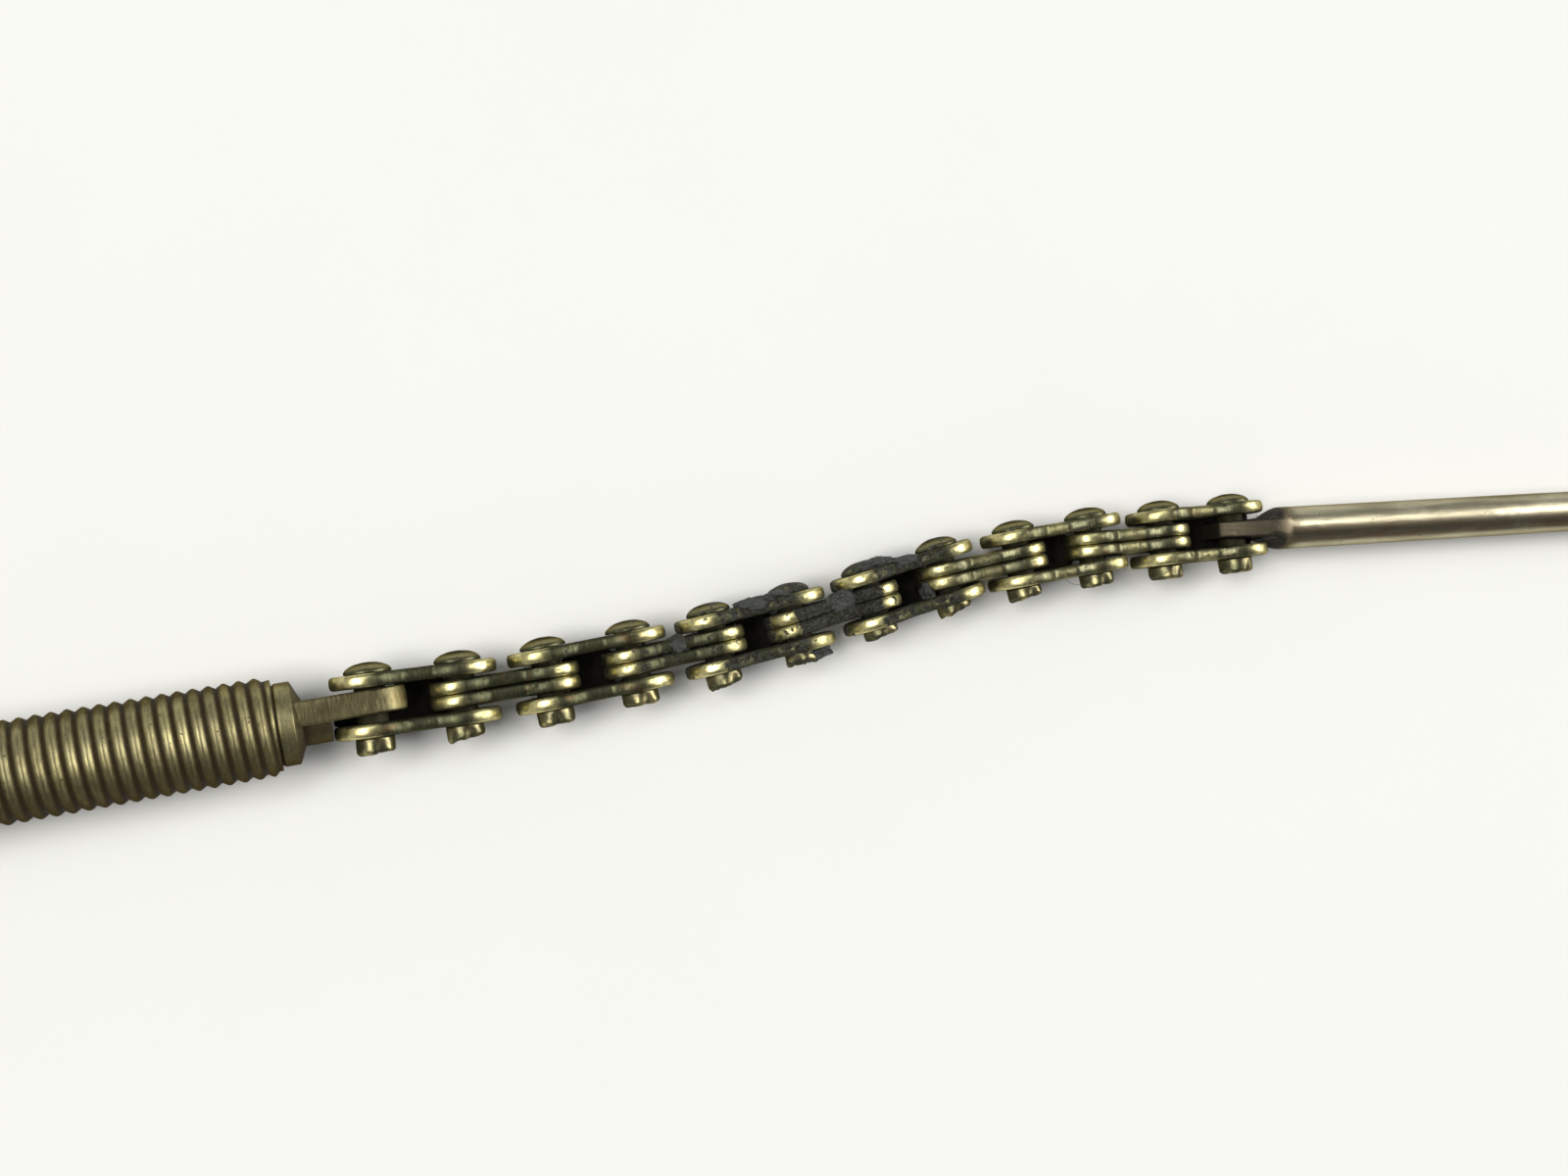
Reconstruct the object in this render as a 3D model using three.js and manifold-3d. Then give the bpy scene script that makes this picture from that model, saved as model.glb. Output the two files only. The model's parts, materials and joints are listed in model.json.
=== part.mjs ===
// Indicator chain of a bicycle hub gear: a threaded stud, eleven links of a small leaf
// chain and a plain rod, lying on a surface on the edges of its plates.
// Millimetres, +Z up. The stud's axis runs along X, and the rivets lie along Y with
// their domed heads towards +Y.
import * as THREE from 'three';
import { mergeVertices } from 'three/addons/utils/BufferGeometryUtils.js';
import Module from 'manifold-3d';

const wasm = await Module();
wasm.setup();

// Chain
const LINK_COUNT = 11;
const LINK_PITCH = 3.65;
const SHANK_RADIUS = 0.62;

// Sideways angle of each link in degrees, from the stud to the rod: the joints are
// worn, so the chain wanders a little as it lies. The first link sits to one side of
// the stud's axis, against the face of its tongue.
const LINK_HEADINGS = [-2.2, -0.4, 1.8, 2.8, 4.6, 7, 8, 3.1, 1, -3.2, -3];
const ROD_HEADING = -5.4;
const CHAIN_OFFSET = 0.18;

// Plates
const OUTER_PLATE = { endRadius: 1.55, waist: 1.05, thickness: 0.56, holeRadius: 0.7 };
const INNER_PLATE = { endRadius: 1.3, waist: 0.87, thickness: 0.57, holeRadius: 0.75 };
const OUTER_SPACING = 1.44;
const INNER_SPACING = 0.02;
const END_ARC_STEPS = 12;
const END_ARC_SWEEP = 135;
const WAIST_STEPS = 4;
const HOLE_STEPS = 8;

// Rivets
const HEAD_RADIUS = 0.98;
const HEAD_HEIGHT = 0.46;
const DOME_STEPS = 2;
const STUB_RADIUS = 0.78;
const STUB_LENGTH = 0.69;
const STUB_EDGE = 0.12;
const RIVET_PLAY = 0.02;
const RIVET_STEPS = 12;

// Threaded stud
const THREAD_RADIUS = 2;
const THREAD_PITCH = 0.577;
const THREAD_DEPTH = 0.24;
const STUD_LENGTH = 20;
const STUD_CHAMFER = 0.35;
const COLLAR_RADIUS = 1.67;
const COLLAR_LENGTH = 0.72;
const SHOULDER_CONE = 0.28;
const SHOULDER_TO_PIN = 2.7;
const NECK_RADIUS = 1;
const NECK_END = 1.64;
const STUD_TONGUE = { thickness: 1, halfWidth: 1.4, offset: 0.32 };
const TONGUE_END_STEPS = 7;
const TONGUE_END_SWEEP = 78;
const STEPS_PER_TURN = 3;
const BAR_SIDES = 16;

// Plain rod
const ROD_RADIUS = 1;
const ROD_LENGTH = 52;
const ROD_CHAMFER = 0.25;
const ROD_TONGUE_END = { thickness: 0.74, halfWidth: 1.32, back: 1.36 };
const ROD_TONGUE_ROOT = { thickness: 0.98, halfWidth: 1.2, reach: 1.6 };
const ROD_TAPER_END = 2.9;

// Pin holes through the tongues
const TONGUE_HOLE_RADIUS = 0.72;
const DRILL_LENGTH = 6;
const MERGE_TOLERANCE = 1e-5;

// Heights at which the pieces touch the surface that they lie on
const STUD_AXIS_HEIGHT = THREAD_RADIUS;
const CHAIN_AXIS_HEIGHT = OUTER_PLATE.endRadius;

const steel = (colour, roughness) => new THREE.MeshStandardMaterial({
  color: colour,
  roughness,
  metalness: 0.85,
});
const MATERIALS = {
  stud: steel('#6f694c', 0.42),
  plate: steel('#67644c', 0.4),
  rivet: steel('#77714f', 0.36),
  rod: steel('#8d8477', 0.4),
};

const radians = (degrees) => THREE.MathUtils.degToRad(degrees);

function namedMesh(name, geometry, material) {
  const mesh = new THREE.Mesh(geometry, material);
  mesh.name = name;
  return mesh;
}

// A closed bar through rings of points. Every ring has the same number of points, and
// both ends are closed by a fan round the ring's centre.
function loftedBar(rings) {
  const sides = rings[0].length;
  const positions = [];
  const faces = [];
  for (const ring of rings) {
    for (const point of ring) positions.push(point.x, point.y, point.z);
  }
  for (let level = 0; level + 1 < rings.length; level += 1) {
    for (let side = 0; side < sides; side += 1) {
      const a = level * sides + side;
      const b = level * sides + (side + 1) % sides;
      faces.push(a, b, a + sides, b, b + sides, a + sides);
    }
  }
  const closeEnd = (level, facesBack) => {
    const centre = new THREE.Vector3();
    rings[level].forEach((point) => centre.add(point));
    centre.divideScalar(sides);
    const centreIndex = positions.length / 3;
    positions.push(centre.x, centre.y, centre.z);
    for (let side = 0; side < sides; side += 1) {
      const a = level * sides + side;
      const b = level * sides + (side + 1) % sides;
      if (facesBack) faces.push(centreIndex, b, a);
      else faces.push(centreIndex, a, b);
    }
  };
  closeEnd(0, true);
  closeEnd(rings.length - 1, false);
  const geometry = new THREE.BufferGeometry();
  geometry.setAttribute('position', new THREE.Float32BufferAttribute(positions, 3));
  geometry.setIndex(faces);
  return geometry;
}

// A round section across the X axis. radiusAt gives the radius at each angle, so that
// a thread can wind round the bar.
function roundRing(x, radiusAt) {
  const ring = [];
  for (let side = 0; side < BAR_SIDES; side += 1) {
    const angle = (side / BAR_SIDES) * Math.PI * 2;
    const radius = radiusAt(angle);
    ring.push(new THREE.Vector3(x, radius * Math.cos(angle), radius * Math.sin(angle)));
  }
  return ring;
}

const plainRing = (x, radius) => roundRing(x, () => radius);

// A flat rectangular section across the X axis, with its points in step with those of
// a round one.
function flatRing(x, thickness, halfWidth, offset) {
  const ring = [];
  for (let side = 0; side < BAR_SIDES; side += 1) {
    const angle = (side / BAR_SIDES) * Math.PI * 2;
    const reach = Math.max(Math.abs(Math.cos(angle)), Math.abs(Math.sin(angle)));
    const y = offset + (thickness / 2) * (Math.cos(angle) / reach);
    ring.push(new THREE.Vector3(x, y, halfWidth * (Math.sin(angle) / reach)));
  }
  return ring;
}

function solidOf(geometry) {
  const bare = geometry.clone();
  bare.deleteAttribute('normal');
  bare.deleteAttribute('uv');
  const merged = mergeVertices(bare, MERGE_TOLERANCE);
  return new wasm.Manifold(new wasm.Mesh({
    numProp: 3,
    vertProperties: new Float32Array(merged.attributes.position.array),
    triVerts: new Uint32Array(merged.index.array),
  }));
}

function geometryOf(solid) {
  const mesh = solid.getMesh();
  const geometry = new THREE.BufferGeometry();
  const positions = Array.from(mesh.vertProperties);
  geometry.setAttribute('position', new THREE.Float32BufferAttribute(positions, 3));
  geometry.setIndex(Array.from(mesh.triVerts));
  return geometry;
}

// A solid with a hole along Y through the origin, where the rivet passes.
function withPinHole(solid) {
  const drill = new THREE.CylinderGeometry(
    TONGUE_HOLE_RADIUS,
    TONGUE_HOLE_RADIUS,
    DRILL_LENGTH,
    HOLE_STEPS,
  );
  return geometryOf(solid.subtract(solidOf(drill)));
}

// Threaded stud: the pin hole is at the origin and the thread runs towards -X. A round
// neck carries the flat tongue, which is cut back to one side of the stud's axis.
function studGeometry() {
  const collarEnd = -SHOULDER_TO_PIN - SHOULDER_CONE;
  const threadEnd = collarEnd - COLLAR_LENGTH;
  const rootRadius = THREAD_RADIUS - THREAD_DEPTH;
  const turnFraction = (x, angle) => {
    const turns = x / THREAD_PITCH - angle / (Math.PI * 2);
    return turns - Math.floor(turns);
  };
  const threadRadius = (x) => (angle) => {
    const isRoot = turnFraction(x, angle) < 1 / STEPS_PER_TURN;
    return isRoot ? rootRadius : THREAD_RADIUS;
  };
  const barRings = [plainRing(-STUD_LENGTH, THREAD_RADIUS - STUD_CHAMFER)];
  const threadStart = -STUD_LENGTH + STUD_CHAMFER;
  const stepLength = THREAD_PITCH / STEPS_PER_TURN;
  const stepCount = Math.floor((threadEnd - threadStart) / stepLength);
  for (let step = 0; step < stepCount; step += 1) {
    const x = threadStart + step * stepLength;
    barRings.push(roundRing(x, threadRadius(x)));
  }
  barRings.push(plainRing(threadEnd, COLLAR_RADIUS));
  barRings.push(plainRing(collarEnd, COLLAR_RADIUS));
  barRings.push(plainRing(-SHOULDER_TO_PIN, NECK_RADIUS));
  barRings.push(plainRing(-NECK_END, NECK_RADIUS));

  const { thickness, halfWidth, offset } = STUD_TONGUE;
  const tongueRing = (x, width) => flatRing(x, thickness, width, offset);
  const tongueRings = [tongueRing(collarEnd, halfWidth)];
  for (let step = 0; step <= TONGUE_END_STEPS; step += 1) {
    const angle = radians((step / TONGUE_END_STEPS) * TONGUE_END_SWEEP);
    tongueRings.push(tongueRing(halfWidth * Math.sin(angle), halfWidth * Math.cos(angle)));
  }
  const bar = solidOf(loftedBar(barRings));
  return withPinHole(bar.add(solidOf(loftedBar(tongueRings))));
}

// Plain rod: the pin hole is at the origin and the rod runs towards +X. Its end is
// hammered into a square tongue that thins towards its tip.
function rodGeometry() {
  const tip = ROD_TONGUE_END;
  const root = ROD_TONGUE_ROOT;
  return withPinHole(solidOf(loftedBar([
    flatRing(-tip.back, tip.thickness, tip.halfWidth, 0),
    flatRing(root.reach, root.thickness, root.halfWidth, 0),
    plainRing(ROD_TAPER_END, ROD_RADIUS),
    plainRing(ROD_LENGTH - ROD_CHAMFER, ROD_RADIUS),
    plainRing(ROD_LENGTH, ROD_RADIUS - ROD_CHAMFER),
  ])));
}

// Plate with two round ends round the rivets, drawn in to a waist between them. It is
// drawn in the XZ plane and its thickness runs along Y, from faceY upwards.
function plateGeometry({ endRadius, waist, thickness, holeRadius }, faceY) {
  const half = LINK_PITCH / 2;
  const sweep = radians(END_ARC_SWEEP);
  const joinAngle = Math.PI - sweep;
  const joinX = half - endRadius * Math.cos(joinAngle);
  const joinZ = endRadius * Math.sin(joinAngle);
  const outline = new THREE.Shape();
  const roundEnd = (side) => {
    for (let step = 0; step <= END_ARC_STEPS; step += 1) {
      const angle = -sweep + (2 * sweep * step) / END_ARC_STEPS;
      const x = half + side * endRadius * Math.cos(angle) + (side - 1) * half;
      const z = side * endRadius * Math.sin(angle);
      if (side === 1 && step === 0) outline.moveTo(x, z);
      else outline.lineTo(x, z);
    }
  };
  const waistCurve = (side) => {
    for (let step = 1; step < WAIST_STEPS; step += 1) {
      const along = 1 - (2 * step) / WAIST_STEPS;
      const depth = (joinZ - waist) * (1 - along * along);
      outline.lineTo(side * along * joinX, side * (joinZ - depth));
    }
  };
  roundEnd(1);
  waistCurve(1);
  roundEnd(-1);
  waistCurve(-1);
  for (const side of [-1, 1]) {
    const hole = new THREE.Path();
    for (let step = 0; step < HOLE_STEPS; step += 1) {
      const angle = -(step / HOLE_STEPS) * Math.PI * 2;
      const x = side * half + holeRadius * Math.cos(angle);
      const z = holeRadius * Math.sin(angle);
      if (step === 0) hole.moveTo(x, z);
      else hole.lineTo(x, z);
    }
    outline.holes.push(hole);
  }
  const geometry = new THREE.ExtrudeGeometry(outline, { depth: thickness, bevelEnabled: false });
  geometry.rotateX(Math.PI / 2);
  geometry.translate(half, faceY + thickness, 0);
  return geometry;
}

// Rivet with a low domed head above the stack of plates and a stub below it.
function rivetGeometry() {
  const stackHalf = OUTER_SPACING / 2 + OUTER_PLATE.thickness;
  const headBase = stackHalf + RIVET_PLAY;
  const stubTop = -stackHalf - RIVET_PLAY;
  const profile = [new THREE.Vector2(0, stubTop - STUB_LENGTH)];
  const corner = (radius, height) => profile.push(new THREE.Vector2(radius, height));
  corner(STUB_RADIUS - STUB_EDGE, stubTop - STUB_LENGTH);
  corner(STUB_RADIUS, stubTop - STUB_LENGTH + STUB_EDGE);
  corner(STUB_RADIUS, stubTop);
  corner(SHANK_RADIUS, stubTop);
  corner(SHANK_RADIUS, headBase);
  corner(HEAD_RADIUS, headBase);
  for (let step = 1; step <= DOME_STEPS; step += 1) {
    const angle = (step / DOME_STEPS) * (Math.PI / 2);
    const radius = step === DOME_STEPS ? 0 : HEAD_RADIUS * Math.cos(angle);
    corner(radius, headBase + HEAD_HEIGHT * Math.sin(angle));
  }
  return new THREE.LatheGeometry(profile, RIVET_STEPS);
}

// Each link's start, and its turn: sideways about Z and down about its own Y.
function placedGroup(position, headingDegrees, droop) {
  const group = new THREE.Group();
  group.position.copy(position);
  group.rotation.set(0, droop, radians(headingDegrees), 'ZYX');
  return group;
}

function buildChain() {
  const chain = new THREE.Group();
  const pin = new THREE.Vector3(0, 0, STUD_AXIS_HEIGHT);

  const studGroup = placedGroup(pin, 0, 0);
  studGroup.add(namedMesh('threaded_stud', studGeometry(), MATERIALS.stud));
  chain.add(studGroup);
  pin.y += CHAIN_OFFSET;

  const outerFace = OUTER_SPACING / 2;
  const innerFace = INNER_SPACING / 2;
  for (let link = 0; link < LINK_COUNT; link += 1) {
    const drop = link === 0 ? STUD_AXIS_HEIGHT - CHAIN_AXIS_HEIGHT : 0;
    const droop = Math.asin(drop / LINK_PITCH);
    const group = placedGroup(pin, LINK_HEADINGS[link], droop);
    const number = link + 1;
    if (link % 2 === 0) {
      const { thickness } = OUTER_PLATE;
      const headSide = plateGeometry(OUTER_PLATE, outerFace);
      const stubSide = plateGeometry(OUTER_PLATE, -outerFace - thickness);
      group.add(namedMesh(`outer_plate_${number}_head_side`, headSide, MATERIALS.plate));
      group.add(namedMesh(`outer_plate_${number}_stub_side`, stubSide, MATERIALS.plate));
      for (const end of [0, 1]) {
        const rivet = namedMesh(`rivet_${number + end}`, rivetGeometry(), MATERIALS.rivet);
        rivet.position.x = end * LINK_PITCH;
        group.add(rivet);
      }
    } else {
      const { thickness } = INNER_PLATE;
      const headSide = plateGeometry(INNER_PLATE, innerFace);
      const stubSide = plateGeometry(INNER_PLATE, -innerFace - thickness);
      group.add(namedMesh(`inner_plate_${number}_head_side`, headSide, MATERIALS.plate));
      group.add(namedMesh(`inner_plate_${number}_stub_side`, stubSide, MATERIALS.plate));
    }
    chain.add(group);
    group.updateMatrixWorld(true);
    pin.copy(new THREE.Vector3(LINK_PITCH, 0, 0).applyMatrix4(group.matrixWorld));
  }

  const rodDroop = Math.asin((CHAIN_AXIS_HEIGHT - ROD_RADIUS) / ROD_LENGTH);
  const rodGroup = placedGroup(pin, ROD_HEADING, rodDroop);
  rodGroup.add(namedMesh('rod', rodGeometry(), MATERIALS.rod));
  chain.add(rodGroup);

  // The origin is below the middle of the whole object, on the surface it lies on.
  chain.updateMatrixWorld(true);
  const box = new THREE.Box3().setFromObject(chain, true);
  const centre = box.getCenter(new THREE.Vector3());
  chain.position.set(-centre.x, -centre.y, -box.min.z);
  return chain;
}

export default buildChain();
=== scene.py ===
"""Visual model of a hub gear's indicator chain: a threaded stud, eleven links of a small
leaf chain held by twelve rivets, and a plain rod. It lies on the edges of its plates,
with the domed rivet heads towards +Y. Shapes are worked out in millimetres in each
piece's own frame and stored in metres."""

import json
import math
from collections import namedtuple
from types import SimpleNamespace

import bmesh
import bpy
import numpy as np
from bpy.props import FloatProperty, FloatVectorProperty, IntProperty, PointerProperty
from bpy.types import Operator, Panel, PropertyGroup
from mathutils import Matrix, Vector, noise
from mathutils.geometry import tessellate_polygon


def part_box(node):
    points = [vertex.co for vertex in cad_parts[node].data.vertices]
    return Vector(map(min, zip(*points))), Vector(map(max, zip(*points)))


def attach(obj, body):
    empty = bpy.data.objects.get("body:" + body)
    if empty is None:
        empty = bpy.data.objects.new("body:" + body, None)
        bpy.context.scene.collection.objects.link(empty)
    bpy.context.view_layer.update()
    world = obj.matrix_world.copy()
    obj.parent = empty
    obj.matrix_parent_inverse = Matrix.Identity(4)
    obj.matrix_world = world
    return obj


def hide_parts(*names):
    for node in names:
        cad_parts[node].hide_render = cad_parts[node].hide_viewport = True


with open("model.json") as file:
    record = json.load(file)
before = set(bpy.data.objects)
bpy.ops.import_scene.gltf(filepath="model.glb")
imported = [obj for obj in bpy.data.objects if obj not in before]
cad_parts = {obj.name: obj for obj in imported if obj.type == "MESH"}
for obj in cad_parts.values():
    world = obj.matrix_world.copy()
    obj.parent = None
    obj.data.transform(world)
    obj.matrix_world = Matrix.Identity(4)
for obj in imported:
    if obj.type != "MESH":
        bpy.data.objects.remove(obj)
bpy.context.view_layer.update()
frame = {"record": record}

bl_info = {
    "name": "Hub gear indicator chain",
    "version": (1, 0, 0),
    "blender": (4, 5, 0),
    "location": "View3D > Sidebar > Indicator Chain",
    "description": "Builds a worn hub gear indicator chain around its packed frame",
    "category": "Add Mesh",
}

MM = 0.001
LINK_COUNT = 11
HEAD_SIDE = 1
STUB_SIDE = -1
SIDE_NAMES = {HEAD_SIDE: "head_side", STUB_SIDE: "stub_side"}

# Depth in millimetres of the dents in the stud and the rod
DENT_DEPTH = 0.012

# How thickly grease and lint lie on each link, and how bright its waist is rubbed
LINK_GRIME = (0.04, 0.08, 0.12, 0.32, 0.5, 0.82, 0.46, 0.16, 0.05, 0.06, 0.04)
LINK_WAIST_WEAR = (0.1, 0.05, 0.1, 0.0, 0.0, 0.0, 0.1, 0.75, 0.8, 0.8, 0.75)

# The staked end of each rivet: its length against the others, how far it slants, on which
# side it is cleft (degrees from straight up), and how ragged its rim is
Stub = namedtuple("Stub", "length slant cleft ragged")
STUBS = (
    Stub(0.97, -0.05, 6, 0.04),
    Stub(0.86, -0.16, 4, 0.07),
    Stub(0.95, -0.02, -4, 0.03),
    Stub(0.86, 0.0, 14, 0.02),
    Stub(0.86, -0.16, 24, 0.08),
    Stub(0.72, 0.0, -36, 0.14),
    Stub(0.6, -0.1, 12, 0.08),
    Stub(0.56, -0.16, 0, 0.12),
    Stub(0.76, -0.16, 14, 0.07),
    Stub(0.82, -0.04, 6, 0.05),
    Stub(0.9, 0.02, 34, 0.04),
    Stub(0.98, 0.0, 24, 0.04),
)


# --- Sizes and colours -----------------------------------------------------------------


def length(name, description, default):
    """A size in metres, given in millimetres."""
    kind = {"unit": "LENGTH", "subtype": "DISTANCE", "precision": 5}
    return FloatProperty(name=name, description=description, default=default * MM, min=0, **kind)


def angle_of(name, description, default):
    """An angle in radians, given in degrees."""
    kind = {"unit": "ROTATION", "subtype": "ANGLE"}
    return FloatProperty(name=name, description=description, default=math.radians(default), **kind)


def amount(name, description, default, most):
    return FloatProperty(name=name, description=description, default=default, min=0, max=most)


def count_of(name, description, default):
    return IntProperty(name=name, description=description, default=default, min=8, max=160)


def colour(name, description, default):
    kind = {"subtype": "COLOR", "size": 3, "min": 0, "max": 1}
    return FloatVectorProperty(name=name, description=description, default=default, **kind)


def in_mm(group):
    """A group's settings, with its lengths in millimetres."""
    values = {}
    for item in group.bl_rna.properties:
        if item.type in ("FLOAT", "INT"):
            value = getattr(group, item.identifier)
            values[item.identifier] = value / MM if item.unit == "LENGTH" else value
    return SimpleNamespace(**values)


class PlateSizes(PropertyGroup):
    """Sizes of the chain's plates"""

    outer_end: length("Outer end radius", "Radius round a rivet at an outer plate's end", 1.55)
    outer_waist: length("Outer waist", "Half width of an outer plate between its rivets", 1.02)
    outer_thickness: length("Outer thickness", "Thickness of an outer plate", 0.56)
    outer_spacing: length("Outer spacing", "Clear space between two outer plates", 1.44)
    inner_end: length("Inner end radius", "Radius round a rivet at an inner plate's end", 1.3)
    inner_waist: length("Inner waist", "Half width of an inner plate between its rivets", 0.84)
    inner_thickness: length("Inner thickness", "Thickness of an inner plate", 0.57)
    inner_spacing: length("Inner spacing", "Clear space between two inner plates", 0.02)
    edge_round: length("Edge rounding", "Radius of the tumbled edges", 0.15)
    hole: length("Hole radius", "Radius of the rivet holes", 0.66)
    relief: length("Surface relief", "Depth of the dents along the edges", 0.013)
    arc_steps: count_of("Arc steps", "Steps round each end", 56)


class RivetSizes(PropertyGroup):
    """Sizes of the rivets"""

    shank: length("Shank radius", "Radius inside the plates", 0.62)
    head: length("Head radius", "Radius of the domed head", 0.98)
    head_height: length("Head height", "Height of the dome above the plate", 0.46)
    stub: length("Stub radius", "Radius of the staked end", 0.78)
    stub_length: length("Stub length", "Length of the staked end below the plate", 0.69)
    play: length("Play", "Gap between the head and the plate", 0.01)
    sides: count_of("Sides", "Steps round a rivet", 72)


class StudSizes(PropertyGroup):
    """Sizes of the threaded stud"""

    crest: length("Crest radius", "Radius over the thread", 2.0)
    pitch: length("Thread pitch", "Advance of the thread in one turn", 0.577)
    depth: length("Thread depth", "Depth of the groove between two crests", 0.155)
    reach: length("Length", "From the first rivet to the free end", 20.0)
    chamfer: length("Chamfer", "Chamfer of the free end", 0.35)
    collar: length("Collar radius", "Radius of the plain collar", 1.67)
    collar_length: length("Collar length", "Length of the plain collar", 0.72)
    cone: length("Shoulder length", "Length of the sloping shoulder", 0.28)
    shoulder: length("Shoulder place", "From the shoulder's foot to the first rivet", 2.7)
    neck: length("Neck radius", "Radius of the neck behind the tongue", 1.0)
    neck_end: length("Neck end", "From the neck's cut face to the first rivet", 1.64)
    tongue: length("Tongue thickness", "Thickness of the flat tongue", 1.0)
    tongue_width: length("Tongue half width", "Half the tongue's width", 1.4)
    tongue_offset: length("Tongue offset", "From the stud's axis to the tongue's middle", 0.32)
    rows: count_of("Rows a turn", "Rows of faces in one turn of thread", 16)
    sides: count_of("Sides", "Steps round the stud", 112)


class RodSizes(PropertyGroup):
    """Sizes of the plain rod"""

    radius: length("Radius", "Radius of the rod", 1.0)
    reach: length("Length", "From the last rivet to the free end", 52.0)
    chamfer: length("Chamfer", "Chamfer of the free end", 0.25)
    tip: length("Tongue tip", "Thickness of the tongue at its tip", 0.74)
    tip_width: length("Tip half width", "Half the tongue's width at its tip", 1.32)
    back: length("Tongue overhang", "From the last rivet back to the tongue's tip", 1.36)
    root: length("Tongue root", "Thickness of the tongue at its root", 0.98)
    root_width: length("Root half width", "Half the tongue's width at its root", 1.2)
    root_reach: length("Root place", "From the last rivet to the tongue's root", 1.6)
    taper_end: length("Taper end", "From the last rivet to where the rod is round", 2.9)
    sides: count_of("Sides", "Steps round the rod", 96)


class Finishes(PropertyGroup):
    """Colours of the metal and of the dirt on it, some of which also serve as painted shade"""

    stud_tarnish: colour("Stud tarnish", "Satin plating of the stud", (0.2, 0.175, 0.1))
    # The stud's darker tarnish also serves as painted shade on its flanks and its neck.
    stud_deep: colour("Stud deep tarnish", "Darker parts of the stud", (0.07, 0.056, 0.03))
    plate_tarnish: colour("Plate tarnish", "Dull plating of the plates", (0.145, 0.14, 0.088))
    # The plates' darker tarnish also serves as painted shade on their inward slopes and waists, and on the
    # rivet heads and stubs.
    plate_deep: colour("Plate deep tarnish", "Darker patches of the plates", (0.055, 0.058, 0.034))
    worn: colour("Worn metal", "Where the plating is rubbed bright", (0.66, 0.6, 0.29))
    gold: colour("Gold tint", "Thin warm stains on the worn metal", (0.36, 0.24, 0.07))
    rod_steel: colour("Rod steel", "Drawn steel of the rod", (0.47, 0.43, 0.3))
    # The rod's tarnish also serves as painted shade on its flat tongue, round its crook and along its lower
    # flank.
    rod_deep: colour("Rod tarnish", "Dull tarnish of the rod", (0.125, 0.103, 0.07))
    rod_bright: colour("Rod bright", "Bright drawn streaks of the rod", (0.8, 0.76, 0.58))
    # The grease colour also serves as painted shade in creases and gaps: on the rod's tongue and on the
    # rivet shanks, feet and clefts.
    grease: colour("Grease", "Black grease in grooves and gaps", (0.014, 0.012, 0.008))
    # On the stud's shoulder and neck the groove dirt also serves as painted shade.
    groove_dirt: colour("Groove dirt", "Brown dirt in the stud's thread", (0.03, 0.02, 0.008))
    grime: colour("Grime", "Matt grey lint and dust", (0.05, 0.055, 0.051))
    rust: colour("Rust", "Reddish stains on the rivet ends", (0.14, 0.045, 0.02))


class StageSettings(PropertyGroup):
    """Camera, lights and floor"""

    distance: length("Camera distance", "From the camera to the middle of the view", 72.5)
    azimuth: angle_of("Azimuth", "Direction that the camera looks in, from +Y towards +X", 86.8)
    elevation: angle_of("Elevation", "How far the camera looks down", 74.15)
    roll: angle_of("Roll", "Turn of the camera about its line of sight", 77.4)
    lens: amount("Lens", "Focal length in millimetres", 38.25, 200)
    floor: colour("Floor", "Pale floor", (0.8, 0.8, 0.79))
    surround: amount("Surround", "Brightness of the surroundings overhead", 0.12, 2)
    horizon: amount("Horizon", "Brightness of the surroundings near the floor", 0.55, 2)


# --- Places, read from the frame -------------------------------------------------------


def node_centre(node):
    low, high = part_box(node)
    return (low + high) / 2


def plate_name(link, side):
    kind = "outer" if link % 2 else "inner"
    return f"{kind}_plate_{link}_{SIDE_NAMES[side]}"


def link_middle(link):
    """Middle of a link's two plates and the direction across them, towards the heads."""
    head, stub = (node_centre(plate_name(link, side)) for side in (HEAD_SIDE, STUB_SIDE))
    return (head + stub) / 2, (head - stub).normalized()


def chain_frames():
    """The frame of each link: origin in its first rivet, X to its second, Y to the heads."""
    middles = {link: link_middle(link) for link in range(1, LINK_COUNT + 1)}
    up = Vector((0, 0, 1))
    half = (middles[3][0] - middles[2][0]).length / 2
    pins = {}
    for link in range(2, LINK_COUNT + 1):
        middle, across = middles[link]
        pins[link] = middle - across.cross(up).normalized() * half
    pins[LINK_COUNT + 1] = 2 * middles[LINK_COUNT][0] - pins[LINK_COUNT]
    pins[1] = 2 * middles[1][0] - pins[2]
    frames = {}
    for link in range(1, LINK_COUNT + 1):
        along = (pins[link + 1] - pins[link]).normalized()
        across = middles[link][1]
        frames[link] = axes_at(pins[link], along, across)
    return frames, pins


def axes_at(origin, along, across):
    third = along.cross(across).normalized()
    matrix = Matrix((along, across, third)).transposed().to_4x4()
    matrix.translation = origin
    return matrix


FRAMES, PINS = chain_frames()
PITCH = (PINS[3] - PINS[2]).length / MM


def stud_frame(reach):
    """The stud's frame: X along its axis, with the first rivet's place at the origin."""
    low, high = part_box("threaded_stud")
    origin = Vector((low.x + reach * MM, (low.y + high.y) / 2, (low.z + high.z) / 2))
    return Matrix.Translation(origin)


def rod_frame(reach):
    """The rod's frame: X from the last rivet to the middle of its free end."""
    pin = PINS[LINK_COUNT + 1]
    mount = next(m for m in frame["record"]["mounts"] if m["name"] == "rod_end")
    end = Vector(mount["pos_m"])
    along = (end - pin).normalized()
    if abs((end - pin).length / MM - reach) > 0.1:
        raise RuntimeError("the rod isn't as long as the frame says")
    across = Vector((0, 0, 1)).cross(along).normalized()
    return axes_at(pin, along, across)


# --- Mesh helpers, in millimetres ------------------------------------------------------


def smoothstep(low, high, value):
    t = np.clip((np.asarray(value, float) - low) / (high - low), 0, 1)
    return t * t * (3 - 2 * t)


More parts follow.
